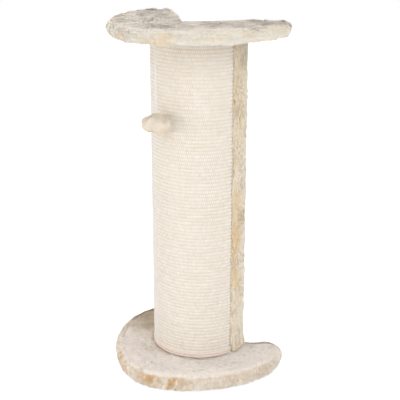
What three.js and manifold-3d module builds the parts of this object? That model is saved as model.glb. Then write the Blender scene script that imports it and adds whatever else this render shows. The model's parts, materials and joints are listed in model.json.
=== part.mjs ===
// Half-round cat scratching post that stands in a room corner, with a toy on an elastic cord.
// Millimetres, +Z up, front towards -Y. The plates' notch at the back takes the corner of the walls.
// The origin is on the floor, under the middle of the plates' width and depth.

import * as THREE from 'three';
import { mergeVertices } from 'three/addons/utils/BufferGeometryUtils.js';
import Module from 'manifold-3d';

// ---------------------------------------------------------------- driving dimensions

const totalHeight = 750;
const clearance = 0.3; // between pieces that touch
const facetAngle = 6; // degrees of arc for each facet

// Plate outline: tangent arcs from the front point round to the tip, then a straight notch side.
const noseRadius = 116;
const noseSweep = 23.5;
const flankRadius = 253;
const flankSweep = 52.1;
const sideRadius = 127.7;
const sideSweep = 41.9;
const tipRadius = 37;
const wallAngle = 90; // between the two walls of the corner

// Boards and their plush
const baseBoardThickness = 22;
const topBoardThickness = 15;
const plushThickness = 6.3; // pile and backing
const plushEdgeRadius = 10.5;
const pressedPile = 2.5; // how far the post's ends press into the pile
const hemWidth = 28; // plush turned under, from the rim

// Post
const frontOverhang = 102.8; // from the plates' front to the mat's face
const postRadius = 101; // face of the sisal mat
const matHalfAngle = 80.6; // of the mat, from the front to its seam
const matThickness = 5;
const sidePlushProud = 3.5; // of the side plush beyond the mat's face
const postTipRadius = 9;
const shellThickness = 5;
const backBoardThickness = 9;
const coreTipRadius = 3;
const formerThickness = 16;

// Binding tape round the mat's lower edge
const tapeHeight = 12;
const tapeThickness = 1.2;
const tapeProud = 0.6;
const tapeGrooveDepth = 0.5;
const tapeGrooveWidth = 1.6;

// Bolts that hold the post on the base, with washers below and insert nuts in the bottom former
const boltRadius = 4;
const boltHeadRadius = 6.5;
const boltHeadHeight = 4.5;
const boltSpread = 52; // of the two side bolts, from the centre line
const washerRadius = 9;
const washerThickness = 1.6;
const washerRecess = 7; // depth of the board's counterbore
const insertNutRadius = 6;
const insertNutLength = 13;
const boltEndMargin = 1; // from the bolt's end to the top of the insert nut

// Wood screws, countersunk
const screwRadius = 2;
const screwHeadRadius = 4;
const screwPointLength = 4;
const topScrewLength = 27;
const innerTopScrewSpread = 26;
const outerTopScrewSpread = 66;
const formerScrewLength = 26;
const formerScrewSetback = 57; // along a back board, from the post's tip

// Toy on its elastic cord
const toyStandoff = 36; // from the mat's face to the cord
const toyCentreHeight = 556;
const toyWidth = 62;
const toyDepth = 45;
const toyHeight = 41;
const toySquareness = 2.35; // exponent of the toy's rounded section
const toyDimpleDepth = 5;
const toyDimpleWidth = 7;
const toySkin = 3;
const cordRadius = 1.5;
const cordHoleMargin = 0.6;
const topKnotRadius = 2.6;
const lowerKnotRadius = 3;
const knotFlatness = 0.9;
const stapleWidth = 10;
const stapleWire = 1.2;
const stapleLeg = 12;

// ---------------------------------------------------------------- levels and places that follow

const radians = THREE.MathUtils.degToRad;
const halfWall = radians(wallAngle) / 2;

const baseTop = baseBoardThickness + 2 * (plushThickness + clearance);
const topUnderside = totalHeight - topBoardThickness - 2 * (plushThickness + clearance);
const postBottom = baseTop - pressedPile + clearance;
const postTop = topUnderside + pressedPile - clearance;
const topBoardBottom = topUnderside + plushThickness + clearance;
const boardInset = plushThickness + clearance;

const matInnerRadius = postRadius - matThickness;
const sidePlushRadius = postRadius + sidePlushProud;
const coreRadius = matInnerRadius - clearance;
const coreInset = plushThickness + clearance;
const formerInset = coreInset + backBoardThickness + clearance;
const formerRadius = coreRadius - shellThickness - clearance;

const plateArcs = [
  { radius: noseRadius, turn: radians(noseSweep) },
  { radius: flankRadius, turn: radians(flankSweep) },
  { radius: sideRadius, turn: radians(sideSweep) },
  { radius: tipRadius, turn: Math.PI + halfWall - radians(noseSweep + flankSweep + sideSweep) },
];

// ---------------------------------------------------------------- outlines

// Points of an arc, both ends included. Angles in radians, 0 along +X.
function arcPoints(centre, radius, from, to) {
  const steps = Math.max(1, Math.ceil(Math.abs(to - from) / radians(facetAngle)));
  return Array.from({ length: steps + 1 }, (_, i) => {
    const angle = from + ((to - from) * i) / steps;
    return new THREE.Vector2(
      centre.x + radius * Math.cos(angle),
      centre.y + radius * Math.sin(angle),
    );
  });
}

// Right half of the plate outline with its front point at y = 0, moved in by an inset.
function rawPlateHalf(inset) {
  const centre = new THREE.Vector2(0, noseRadius);
  let heading = 0;
  let lastRadius = noseRadius;
  const points = [];
  for (const { radius, turn } of plateArcs) {
    centre.x += (lastRadius - radius) * Math.sin(heading);
    centre.y -= (lastRadius - radius) * Math.cos(heading);
    const start = heading - Math.PI / 2;
    const arc = arcPoints(centre, radius - inset, start, start + turn);
    points.push(...arc.slice(points.length ? 1 : 0));
    heading += turn;
    lastRadius = radius;
  }
  const end = points[points.length - 1];
  points.push(new THREE.Vector2(0, end.y - end.x / Math.tan(halfWall)));
  points[0].x = 0;
  return points;
}

const rawPlate = rawPlateHalf(0);
const plateDepth = Math.max(...rawPlate.map((point) => point.y));
const plateFront = -plateDepth / 2;
const notchApex = plateFront + rawPlate[rawPlate.length - 1].y;
const postCentre = new THREE.Vector2(0, plateFront + frontOverhang + postRadius);
const cordPlace = new THREE.Vector2(0, plateFront + frontOverhang - toyStandoff);

function reflected(points) {
  return points.map((point) => new THREE.Vector2(-point.x, point.y)).reverse();
}

// A closed outline from its right half, whose first and last points lie on the centre line.
function closedOutline(rightHalf) {
  return [...rightHalf, ...reflected(rightHalf).slice(1, -1)];
}

function plateOutline(inset) {
  const half = rawPlateHalf(inset);
  return closedOutline(half.map((point) => new THREE.Vector2(point.x, point.y + plateFront)));
}

// Where a circle about the post's axis, less a fillet, meets a line parallel to the notch side.
function tipCentre(radius, inset, fillet) {
  const slope = 1 / Math.tan(halfWall);
  const offset = notchApex - (inset + fillet) / Math.sin(halfWall) - postCentre.y;
  const reach = (1 + slope * slope) * (offset * offset - (radius - fillet) ** 2);
  const x = (Math.sqrt((slope * offset) ** 2 - reach) - slope * offset) / (1 + slope * slope);
  return new THREE.Vector2(x, postCentre.y + offset + slope * x);
}

// Right half of a post outline: the front circle, the rounded tip and the notch side to its apex.
function postHalf(radius, inset, fillet, from = -Math.PI / 2) {
  const tip = tipCentre(radius, inset, fillet);
  const tipAngle = Math.atan2(tip.y - postCentre.y, tip.x);
  const points = arcPoints(postCentre, radius, from, tipAngle);
  points.push(...arcPoints(tip, fillet, tipAngle, Math.PI - halfWall).slice(1));
  points.push(new THREE.Vector2(0, notchApex - inset / Math.sin(halfWall)));
  return points;
}

function postOutline(radius, inset, fillet) {
  const half = postHalf(radius, inset, fillet);
  half[0].x = 0;
  return closedOutline(half);
}

// Y in the middle of the formers, between the front circle and the notch side, at a given x.
function formerMiddle(x) {
  const front = postCentre.y - Math.sqrt(formerRadius ** 2 - x * x);
  const back = notchApex - formerInset / Math.sin(halfWall) + Math.abs(x) / Math.tan(halfWall);
  return (front + back) / 2;
}

// ---------------------------------------------------------------- solids

const wasm = await Module();
wasm.setup();

function toManifold(geometry) {
  const bare = geometry.clone();
  bare.deleteAttribute('normal');
  bare.deleteAttribute('uv');
  const merged = mergeVertices(bare, 1e-4);
  const vertProperties = new Float32Array(merged.attributes.position.array);
  const triVerts = new Uint32Array(merged.index.array);
  return new wasm.Manifold(new wasm.Mesh({ numProp: 3, vertProperties, triVerts }));
}

function fromManifold(solid) {
  const mesh = solid.getMesh();
  const geometry = new THREE.BufferGeometry();
  geometry.setAttribute('position', new THREE.BufferAttribute(mesh.vertProperties, 3));
  geometry.setIndex(new THREE.BufferAttribute(mesh.triVerts, 1));
  const faceted = geometry.toNonIndexed();
  faceted.computeVertexNormals();
  return faceted;
}

function cut(geometry, tools) {
  let solid = toManifold(geometry);
  for (const tool of tools) {
    solid = solid.subtract(toManifold(tool));
  }
  return fromManifold(solid);
}

// Straight-sided solid of an outline between two levels.
function prism(outline, low, high) {
  const shape = new THREE.Shape(outline);
  const geometry = new THREE.ExtrudeGeometry(shape, { depth: high - low, bevelEnabled: false });
  return geometry.translate(0, 0, low);
}

// Closed skin through rings of 3-D points. Each end is closed over its own flat outline.
function loft(rings, startOutline, endOutline) {
  const count = rings[0].length;
  const positions = rings.flat().flatMap((point) => [point.x, point.y, point.z]);
  const faces = [];
  for (let ring = 0; ring + 1 < rings.length; ring++) {
    for (let i = 0; i < count; i++) {
      const a = ring * count + i;
      const b = ring * count + ((i + 1) % count);
      faces.push(a, b, b + count, a, b + count, a + count);
    }
  }
  const last = (rings.length - 1) * count;
  for (const [a, b, c] of THREE.ShapeUtils.triangulateShape(startOutline, [])) {
    faces.push(c, b, a);
  }
  for (const [a, b, c] of THREE.ShapeUtils.triangulateShape(endOutline, [])) {
    faces.push(last + a, last + b, last + c);
  }
  const geometry = new THREE.BufferGeometry();
  geometry.setAttribute('position', new THREE.Float32BufferAttribute(positions, 3));
  geometry.setIndex(faces);
  const faceted = geometry.toNonIndexed();
  faceted.computeVertexNormals();
  return faceted;
}

// Profile of (radius, z) points carried round the front of the post, between two seams.
function postSector(profile, halfAngle) {
  const steps = Math.ceil((2 * halfAngle) / facetAngle);
  const rings = Array.from({ length: steps + 1 }, (_, i) => {
    const angle = -Math.PI / 2 + radians(halfAngle) * ((2 * i) / steps - 1);
    return profile.map(([radius, z]) => new THREE.Vector3(
      postCentre.x + radius * Math.cos(angle),
      postCentre.y + radius * Math.sin(angle),
      z,
    ));
  });
  const flat = profile.map(([radius, z]) => new THREE.Vector2(radius, z));
  return loft(rings.reverse(), flat, flat);
}

// Solid of revolution about Z from (radius, z) points.
function turned(profile, segments = 12) {
  const points = profile.map(([radius, z]) => new THREE.Vector2(radius, z));
  return new THREE.LatheGeometry(points, segments).rotateX(Math.PI / 2);
}

// ---------------------------------------------------------------- materials

function finish(color, roughness, metalness = 0) {
  return { color, roughness, metalness };
}

const plushFinish = finish(0xe3d8c3, 1);
const sisalFinish = finish(0xebe1ca, 0.9);
const tapeFinish = finish(0xecd2bf, 0.9);
const boardFinish = finish(0xb99a6f, 0.85);
const liningFinish = finish(0xded2bb, 1);
const steelFinish = finish(0xb9bcc0, 0.35, 1);
const elasticFinish = finish(0xf2efe8, 0.8);
const stuffingFinish = finish(0xf4f2ec, 1);

function piece(name, geometry, look) {
  const mesh = new THREE.Mesh(geometry, new THREE.MeshStandardMaterial(look));
  mesh.name = name;
  return mesh;
}

// ---------------------------------------------------------------- plates

// Plush pulled over a board and turned under its edge: one skin, open below inside its hem.
function plushCover(low, high) {
  const edgeSteps = 5;
  const rings = [];
  const addRing = (inset, z) => {
    rings.push(plateOutline(inset).map((point) => new THREE.Vector3(point.x, point.y, z)));
  };
  for (let i = 0; i <= edgeSteps; i++) {
    const angle = (Math.PI / 2) * (i / edgeSteps);
    const inset = plushEdgeRadius * (1 - Math.sin(angle));
    addRing(inset, high - plushEdgeRadius * (1 - Math.cos(angle)));
  }
  for (let i = 0; i <= edgeSteps; i++) {
    const angle = (Math.PI / 2) * (i / edgeSteps);
    const inset = plushEdgeRadius * (1 - Math.cos(angle));
    addRing(inset, low + plushEdgeRadius * (1 - Math.sin(angle)));
  }
  addRing(hemWidth, low);
  addRing(hemWidth, low + plushThickness);
  addRing(plushThickness, low + plushThickness);
  addRing(plushThickness, high - plushThickness);
  rings.reverse();
  return loft(rings, plateOutline(plushThickness), plateOutline(plushEdgeRadius));
}

// What the post's end presses into a plate's pile, from one level to another.
function postFootprint(low, high) {
  const radius = sidePlushRadius + clearance;
  return prism(postOutline(radius, -plushThickness, postTipRadius + clearance), low, high);
}

const boltPlaces = [-boltSpread, 0, boltSpread].map(
  (x) => new THREE.Vector2(x, formerMiddle(x)),
);
const boltNames = ['left', 'front', 'right'];
const boltSeat = plushThickness + clearance + washerRecess;
const washerBottom = boltSeat - washerThickness - clearance;
const nutBottom = postBottom + clearance;
const boltTop = nutBottom + insertNutLength - boltEndMargin;

function drill(place, radius, low, high) {
  return turned([[0, low], [radius, low], [radius, high], [0, high]]).translate(place.x, place.y, 0);
}

function makeBase() {
  const base = new THREE.Group();
  const boltHole = boltRadius + clearance;
  const boardHoles = boltPlaces.flatMap((place) => [
    drill(place, boltHole, 0, baseTop),
    drill(place, washerRadius + clearance, 0, boltSeat),
  ]);
  const boardBottom = plushThickness + clearance;
  const board = prism(plateOutline(boardInset), boardBottom, boardBottom + baseBoardThickness);
  base.add(piece('base_board', cut(board, boardHoles), boardFinish));

  const plushHoles = boltPlaces.flatMap((place) => [
    drill(place, boltHole, plushThickness, baseTop),
    drill(place, washerRadius + clearance, -1, boardBottom),
  ]);
  const footprint = postFootprint(baseTop - pressedPile, baseTop + pressedPile);
  const plush = cut(plushCover(0, baseTop), [footprint, ...plushHoles]);
  base.add(piece('base_plush', plush, plushFinish));

  const washerProfile = [
    [boltHole, 0], [washerRadius, 0], [washerRadius, washerThickness], [boltHole, washerThickness],
    [boltHole, 0],
  ];
  const headTop = washerBottom - clearance;
  const headBottom = headTop - boltHeadHeight;
  const boltProfile = [
    [0, headBottom], [boltHeadRadius, headBottom], [boltHeadRadius, headTop],
    [boltRadius, headTop], [boltRadius, boltTop], [0, boltTop],
  ];
  boltPlaces.forEach((place, i) => {
    const washer = piece(`base_washer_${boltNames[i]}`, turned(washerProfile), steelFinish);
    washer.position.set(place.x, place.y, washerBottom);
    const bolt = piece(`base_bolt_${boltNames[i]}`, turned(boltProfile), steelFinish);
    bolt.position.set(place.x, place.y, 0);
    base.add(washer, bolt);
  });
  return base;
}

const topScrewSpreads = [
  -outerTopScrewSpread, -innerTopScrewSpread, innerTopScrewSpread, outerTopScrewSpread,
];
const topScrewPlaces = topScrewSpreads.map((x) => new THREE.Vector2(x, formerMiddle(x)));
const topScrewHead = topBoardBottom + topBoardThickness;

// A countersunk screw whose head is flush at z = 0 and whose point is down; `grow` makes its hole.
function screwBody(length, grow = 0) {
  const headDepth = screwHeadRadius - screwRadius;
  const shank = screwRadius + grow;
  return turned([
    [0, -length - grow],
    [shank, screwPointLength - length - grow],
    [shank, -headDepth - grow],
    [screwHeadRadius + grow, -grow / 2],
    [screwHeadRadius + grow, grow],
    [0, grow],
  ], 10);
}

function stapleLegHole(side) {
  const width = stapleWire + 2 * clearance;
  const height = stapleLeg + 2 * stapleWire;
  const hole = new THREE.BoxGeometry(width, width, height);
  const x = side * (stapleWidth - stapleWire) / 2;
  return hole.translate(x, cordPlace.y, topUnderside + height / 2 - 2 * stapleWire + clearance);
}

function makeTop() {
  const top = new THREE.Group();
  const stapleHoles = [-1, 1].map(stapleLegHole);
  const screwHoles = topScrewPlaces.map(
    (place) => screwBody(topScrewLength, clearance).translate(place.x, place.y, topScrewHead),
  );
  const board = prism(plateOutline(boardInset), topBoardBottom, topScrewHead);
  top.add(piece('top_board', cut(board, [...screwHoles, ...stapleHoles]), boardFinish));

  const footprint = postFootprint(topUnderside - pressedPile, topUnderside + pressedPile);
  const plush = cut(plushCover(topUnderside, totalHeight), [footprint, ...screwHoles]);
  top.add(piece('top_plush', plush, plushFinish));

  const liningOutline = plateOutline(hemWidth + clearance);
  const lining = prism(liningOutline, topUnderside, topUnderside + plushThickness);
  const liningCuts = [footprint, ...screwHoles, ...stapleHoles];
  top.add(piece('top_underside_lining', cut(lining, liningCuts), liningFinish));

  topScrewPlaces.forEach((place, i) => {
    const screw = piece(`top_screw_${i + 1}`, screwBody(topScrewLength), steelFinish);
    screw.position.set(place.x, place.y, topScrewHead);
    top.add(screw);
  });
  return top;
}

// ---------------------------------------------------------------- post

const formerBottoms = {
  bottom: postBottom,
  middle: (postBottom + postTop - formerThickness) / 2,
  top: postTop - formerThickness,
};

// Where a screw goes in, on a back board's outer face, and the turn that points it inwards.
function formerScrewPose(side, formerName) {
  const tip = tipCentre(sidePlushRadius, 0, postTipRadius);
  const reach = Math.hypot(tip.x, tip.y - notchApex) - formerScrewSetback;
  const x = side * (reach * Math.sin(halfWall) + coreInset * Math.cos(halfWall));
  const y = notchApex + reach * Math.cos(halfWall) - coreInset * Math.sin(halfWall);
  const z = formerBottoms[formerName] + formerThickness / 2;
  const inwards = new THREE.Vector3(side * Math.cos(halfWall), -Math.sin(halfWall), 0);
  const turn = new THREE.Quaternion().setFromUnitVectors(
    new THREE.Vector3(0, 0, -1),
    inwards,
  );
  return { position: new THREE.Vector3(x, y, z), turn };
}

function formerScrewHole({ position, turn }) {
  const hole = screwBody(formerScrewLength, clearance);
  return hole.applyQuaternion(turn).translate(position.x, position.y, position.z);
}

const sides = { left: -1, right: 1 };

// Half of the V at the post's back: a flat board, mitred at the apex and rounded at the tip.
function backBoardOutline() {
  const innerInset = coreInset + backBoardThickness;
  const innerEnd = tipCentre(coreRadius, innerInset, 0);
  const from = Math.atan2(innerEnd.y - postCentre.y, innerEnd.x);
  const edge = postHalf(coreRadius, coreInset, coreTipRadius, from).slice(0, -1);
  const mitre = (inset) => new THREE.Vector2(
    clearance / 2,
    notchApex - inset / Math.sin(halfWall) + clearance / 2 / Math.tan(halfWall),
  );
  return [mitre(innerInset), ...edge, mitre(coreInset)];
}

function frontShellOutline() {
  const innerRadius = coreRadius - shellThickness;
  const arcOf = (radius) => {
    const end = tipCentre(radius, formerInset, 0);
    const to = Math.atan2(end.y - postCentre.y, end.x);
    return arcPoints(postCentre, radius, -Math.PI - to, to);
  };
  return [...arcOf(coreRadius), ...arcOf(innerRadius).reverse()];
}

// Plush from one seam of the mat, round the tip and the V, to the other seam.
function sidePlushOutline() {
  const seam = -Math.PI / 2 + radians(matHalfAngle) + clearance / postRadius;
  const outer = postHalf(sidePlushRadius, 0, postTipRadius, seam);
  const innerRadius = coreRadius + clearance;
  const inner = postHalf(innerRadius, plushThickness, coreTipRadius + clearance, seam);
  return [
    ...outer,
    ...reflected(outer).slice(1),
    ...reflected(inner).reverse(),
    ...inner.reverse().slice(1),
  ];
}

// Mat profile: full thickness above, pressed thin where the tape goes round its lower edge.
function matProfile() {
  const shoulder = postBottom + tapeHeight + clearance;
  const edge = postBottom + tapeThickness + clearance;
  const edgeInner = matInnerRadius + tapeThickness + clearance;
  const edgeOuter = postRadius + tapeProud - tapeThickness - clearance;
  return [
    [edgeInner, edge], [edgeOuter, edge], [edgeOuter, shoulder], [postRadius, shoulder],
    [postRadius, postTop], [matInnerRadius, postTop], [matInnerRadius, shoulder],
    [edgeInner, shoulder],
  ];
}

// Tape profile: a U round the mat's edge, with the groove of its stitching along the middle.
function tapeProfile() {
  const top = postBottom + tapeHeight;
  const floor = postBottom + tapeThickness;
  const face = postRadius + tapeProud;
  const groove = postBottom + tapeHeight / 2;
  return [
    [matInnerRadius, postBottom],
    [face, postBottom],
    [face, groove - tapeGrooveWidth / 2],
    [face - tapeGrooveDepth, groove],
    [face, groove + tapeGrooveWidth / 2],
    [face, top],
    [face - tapeThickness, top],
    [face - tapeThickness, floor],
    [matInnerRadius + tapeThickness, floor],
    [matInnerRadius + tapeThickness, top],
    [matInnerRadius, top],
  ];
}

function makePost() {
  const post = new THREE.Group();
  const screws = [];
  for (const formerName of Object.keys(formerBottoms)) {
    for (const [sideName, side] of Object.entries(sides)) {
      const name = `former_screw_${formerName}_${sideName}`;
      screws.push({ name, sideName, formerName, ...formerScrewPose(side, formerName) });
    }
  }
  const holesFor = (key, value) => screws.filter((screw) => screw[key] === value)
    .map(formerScrewHole);

  const nutHoles = boltPlaces.flatMap((place) => [
    drill(place, insertNutRadius + clearance, postBottom - 1, nutBottom + insertNutLength + clearance),
  ]);
  const topPilots = topScrewPlaces.map(
    (place) => screwBody(topScrewLength, clearance).translate(place.x, place.y, topScrewHead),
  );
  const extraCuts = { bottom: nutHoles, middle: [], top: topPilots };
  const plan = postOutline(formerRadius, formerInset, coreTipRadius);
  for (const [name, low] of Object.entries(formerBottoms)) {
    const former = prism(plan, low, low + formerThickness);
    const cuts = [...holesFor('formerName', name), ...extraCuts[name]];
    post.add(piece(`post_${name}_former`, cut(former, cuts), boardFinish));
  }

  const nutProfile = [
    [boltRadius + clearance, 0], [insertNutRadius, 0], [insertNutRadius, insertNutLength],
    [boltRadius + clearance, insertNutLength], [boltRadius + clearance, 0],
  ];
  boltPlaces.forEach((place, i) => {
    const nut = piece(`insert_nut_${boltNames[i]}`, turned(nutProfile), steelFinish);
    nut.position.set(place.x, place.y, nutBottom);
    post.add(nut);
  });

  for (const [name, side] of Object.entries(sides)) {
    const right = backBoardOutline();
    const outline = side > 0 ? right : reflected(right);
    const board = cut(prism(outline, postBottom, postTop), holesFor('sideName', name));
    post.add(piece(`post_${name}_back_board`, board, boardFinish));
  }

  for (const { name, position, turn } of screws) {
    const screw = piece(name, screwBody(formerScrewLength), steelFinish);
    screw.position.copy(position);
    screw.quaternion.copy(turn);
    post.add(screw);
  }

  const shell = prism(frontShellOutline(), postBottom, postTop);
  const sidePlush = prism(sidePlushOutline(), postBottom, postTop);
  post.add(
    piece('post_front_shell', shell, boardFinish),
    piece('sisal_mat', postSector(matProfile(), matHalfAngle), sisalFinish),
    piece('sisal_edge_tape', postSector(tapeProfile(), matHalfAngle), tapeFinish),
    piece('post_plush', sidePlush, plushFinish),
  );
  return post;
}

// ---------------------------------------------------------------- hanging toy

// Height above the toy's middle of its upper skin, moved in by a shrink, at a given radius.
function toyUpper(radius, shrink) {
  const share = Math.min(1, radius / (toyDepth / 2 - shrink));
  const dome = (1 - share ** toySquareness) ** (1 / toySquareness);
  const dimple = toyDimpleDepth * Math.exp(-((radius / toyDimpleWidth) ** 2));
  return (toyHeight / 2 - shrink) * dome - dimple;
}

// Round section of the toy from its lowest point up to the rim of a hole on its axis.
function toySection(shrink, rimRadius, steps) {
  const maxRadius = toyDepth / 2 - shrink;
  const points = [];
  for (let i = 0; i <= steps; i++) {
    const angle = (Math.PI / 2) * (i / steps);
    const radius = maxRadius * Math.sin(angle) ** (2 / toySquareness);
    const drop = Math.cos(angle) ** (2 / toySquareness);
    points.push([i === 0 ? 0 : radius, -(toyHeight / 2 - shrink) * drop]);
  }
  for (let i = 1; i <= steps; i++) {
    const radius = maxRadius - (maxRadius - rimRadius) * Math.sin((Math.PI / 2) * (i / steps));
    points.push([radius, toyUpper(radius, shrink)]);
  }
  return points;
}

const cordHoleRadius = cordRadius + cordHoleMargin;
const toyStretch = toyWidth / toyDepth; // the toy is wider than it is deep

function makeToySolid(profile, segments) {
  return turned(profile, segments).scale(toyStretch, 1, 1);
}

const lowerKnotHeight = toyUpper(cordHoleRadius, toySkin) - clearance - lowerKnotRadius;
const pocketRadius = lowerKnotRadius + clearance;
const pocketFloor = lowerKnotHeight - lowerKnotRadius - clearance;

const anchorHeight = topUnderside - clearance - stapleWire / 2;
const topKnotHeight = anchorHeight - stapleWire / 2 - clearance - topKnotRadius;

function knotBody(radius) {
  const knot = new THREE.SphereGeometry(radius, 10, 6).rotateX(Math.PI / 2);
  return knot.scale(1, knotFlatness, 1);
}

// Staple that holds the elastic on the underside: a U with its legs up in the board.
function stapleShape() {
  const outer = stapleWidth / 2;
  const inner = outer - stapleWire;
  const shape = new THREE.Shape();
  shape.moveTo(-outer, 0);
  shape.lineTo(outer, 0);
  shape.lineTo(outer, stapleLeg);
  shape.lineTo(inner, stapleLeg);
  shape.lineTo(inner, stapleWire);
  shape.lineTo(-inner, stapleWire);
  shape.lineTo(-inner, stapleLeg);
  shape.lineTo(-outer, stapleLeg);
  shape.closePath();
  return shape;
}

function cordBody(low, high) {
  const corners = 8;
  const section = new THREE.Shape(Array.from({ length: corners }, (_, i) => {
    const angle = (2 * Math.PI * i) / corners;
    return new THREE.Vector2(cordRadius * Math.cos(angle), cordRadius * Math.sin(angle));
  }));
  const extrudePath = new THREE.LineCurve3(
    new THREE.Vector3(0, 0, high),
    new THREE.Vector3(0, 0, low),
  );
  const steps = Math.round((high - low) / (5 * cordRadius));
  return new THREE.ExtrudeGeometry(section, { extrudePath, steps, bevelEnabled: false });
}

function makeHangingToy() {
  const hanger = new THREE.Group();
  hanger.position.set(cordPlace.x, cordPlace.y, 0);

  const staple = new THREE.ExtrudeGeometry(stapleShape(), {
    depth: stapleWire,
    bevelEnabled: false,
  });
  staple.rotateX(Math.PI / 2).translate(0, stapleWire / 2, anchorHeight - stapleWire / 2);

  const topKnot = piece('elastic_top_knot', knotBody(topKnotRadius), elasticFinish);
  topKnot.position.z = topKnotHeight;
  const cordTop = topKnotHeight - topKnotRadius - clearance;
  const cordBottom = toyCentreHeight + lowerKnotHeight + lowerKnotRadius + clearance;
  const lowerKnot = piece('elastic_lower_knot', knotBody(lowerKnotRadius), elasticFinish);
  lowerKnot.position.z = toyCentreHeight + lowerKnotHeight;

  const skin = [
    ...toySection(0, cordHoleRadius, 8),
    ...toySection(toySkin, cordHoleRadius, 6).reverse(),
  ];
  const stuffing = [
    ...toySection(toySkin + clearance, pocketRadius, 5),
    [pocketRadius, pocketFloor],
    [0, pocketFloor],
  ];
  const toyPlush = piece('toy_plush', makeToySolid(skin, 24), plushFinish);
  const toyStuffing = piece('toy_stuffing', makeToySolid(stuffing, 16), stuffingFinish);
  toyPlush.position.z = toyCentreHeight;
  toyStuffing.position.z = toyCentreHeight;

  hanger.add(
    piece('cord_staple', staple, steelFinish),
    topKnot,
    piece('elastic_cord', cordBody(cordBottom, cordTop), elasticFinish),
    lowerKnot,
    toyPlush,
    toyStuffing,
  );
  return hanger;
}

const scratchingPost = new THREE.Group();
scratchingPost.add(makeBase(), makePost(), makeTop(), makeHangingToy());

export default scratchingPost;
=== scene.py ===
"""Corner scratching post: plush-covered plates, a column faced with sisal, a toy on elastic."""

import json
import math

import bpy
import numpy as np
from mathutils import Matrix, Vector
from mathutils.bvhtree import BVHTree
from mathutils.kdtree import KDTree


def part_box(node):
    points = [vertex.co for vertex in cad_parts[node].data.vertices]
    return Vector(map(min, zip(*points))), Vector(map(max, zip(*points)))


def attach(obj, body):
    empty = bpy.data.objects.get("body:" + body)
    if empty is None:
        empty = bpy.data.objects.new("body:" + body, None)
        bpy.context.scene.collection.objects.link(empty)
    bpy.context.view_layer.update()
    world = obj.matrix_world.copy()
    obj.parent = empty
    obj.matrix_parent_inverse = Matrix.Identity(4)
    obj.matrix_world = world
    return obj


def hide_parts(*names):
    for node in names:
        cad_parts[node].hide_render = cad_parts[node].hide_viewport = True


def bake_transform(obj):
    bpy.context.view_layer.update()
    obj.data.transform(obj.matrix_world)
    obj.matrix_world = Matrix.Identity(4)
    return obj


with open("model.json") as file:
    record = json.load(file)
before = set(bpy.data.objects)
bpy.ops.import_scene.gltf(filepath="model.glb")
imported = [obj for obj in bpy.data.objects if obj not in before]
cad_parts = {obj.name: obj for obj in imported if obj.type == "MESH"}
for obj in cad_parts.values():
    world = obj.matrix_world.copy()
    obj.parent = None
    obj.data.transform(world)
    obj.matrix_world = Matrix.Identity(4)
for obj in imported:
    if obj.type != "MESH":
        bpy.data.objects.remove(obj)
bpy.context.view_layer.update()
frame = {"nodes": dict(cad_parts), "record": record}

nodes = frame["nodes"]

# -------- places, in metres

NOTCH_APEX = 0.012839  # the plates' notch opens at 45 degrees from here
POST_AXIS = (0.0, 0.059143)
POST_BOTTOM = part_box("post_plush")[0].z
POST_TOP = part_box("post_plush")[1].z
PLUSH_RADIUS = 0.1045  # of the post's side plush
MAT_FACE = 0.101  # radius of the sisal mat's front, and then of its back
MAT_BACK = 0.0962
MAT_HALF_ANGLE = math.radians(80.6)
TAPE_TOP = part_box("sisal_edge_tape")[1].z
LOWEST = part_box("base_plush")[0].z + 0.0002  # of the base's cloth and pile, just off the floor
BASE_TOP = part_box("base_plush")[1].z
TOP_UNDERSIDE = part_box("top_plush")[0].z
CORD_X, CORD_Y = 0.0, -0.077857
CORD_TOP = 0.7145
CORD_BOTTOM = 0.56889
CORD_IN_KNOT = 0.0012  # how far the elastic goes into each knot
TOP_KNOT = 0.7174
LOWER_KNOT = 0.56559
TOY_CENTRE = 0.556

ROW_PITCH = 0.0076  # of the sisal weave
LOOPS_PER_ROW = 66


# -------- making and handling pieces


def add_object(name, data):
    added = bpy.data.objects.new(name, data)
    bpy.context.scene.collection.objects.link(added)
    return added


def pick(*pieces):
    """Selects these pieces alone, the last one active."""
    if bpy.context.mode != "OBJECT":
        bpy.ops.object.mode_set(mode="OBJECT")
    bpy.ops.object.select_all(action="DESELECT")
    for piece in pieces:
        piece.select_set(True)
        bpy.context.view_layer.objects.active = piece


def apply_modifiers(piece):
    pick(piece)
    for modifier in list(piece.modifiers):
        bpy.ops.object.modifier_apply(modifier=modifier.name)


def settle(piece, name):
    """Names a finished piece and puts its place into its mesh."""
    pick(piece)
    bpy.ops.object.transform_apply(location=True, rotation=True, scale=True)
    piece.name = name
    piece.data.name = name
    return piece


def even_copy(node_name, name, voxel):
    """A node's shape as a piece of its own, merged and meshed anew in even steps."""
    piece = add_object(name, nodes[node_name].data.copy())
    piece.data.materials.clear()
    pick(piece)
    bpy.ops.object.mode_set(mode="EDIT")
    bpy.ops.mesh.select_all(action="SELECT")
    bpy.ops.mesh.remove_doubles(threshold=1e-5)
    bpy.ops.object.mode_set(mode="OBJECT")
    remesh = piece.modifiers.new("even mesh", "REMESH")
    remesh.mode = "VOXEL"
    remesh.voxel_size = voxel
    apply_modifiers(piece)
    return piece


def read(items, field, width=1, kind=float):
    """One field of all vertices, corners or triangles, as an array with rows of this width."""
    values = np.empty(len(items) * width, kind)
    items.foreach_get(field, values)
    return values.reshape(-1, width) if width > 1 else values


def points_of(mesh):
    return read(mesh.vertices, "co", 3)


def normals_of(mesh):
    return read(mesh.vertices, "normal", 3)


def set_points(mesh, points):
    mesh.vertices.foreach_set("co", np.asarray(points, float).ravel())
    mesh.update()


def unit(vectors):
    return vectors / np.maximum(np.linalg.norm(vectors, axis=1), 1e-9)[:, None]


def smoothstep(low, high, values):
    share = np.clip((values - low) / (high - low), 0, 1)
    return share * share * (3 - 2 * share)


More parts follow.
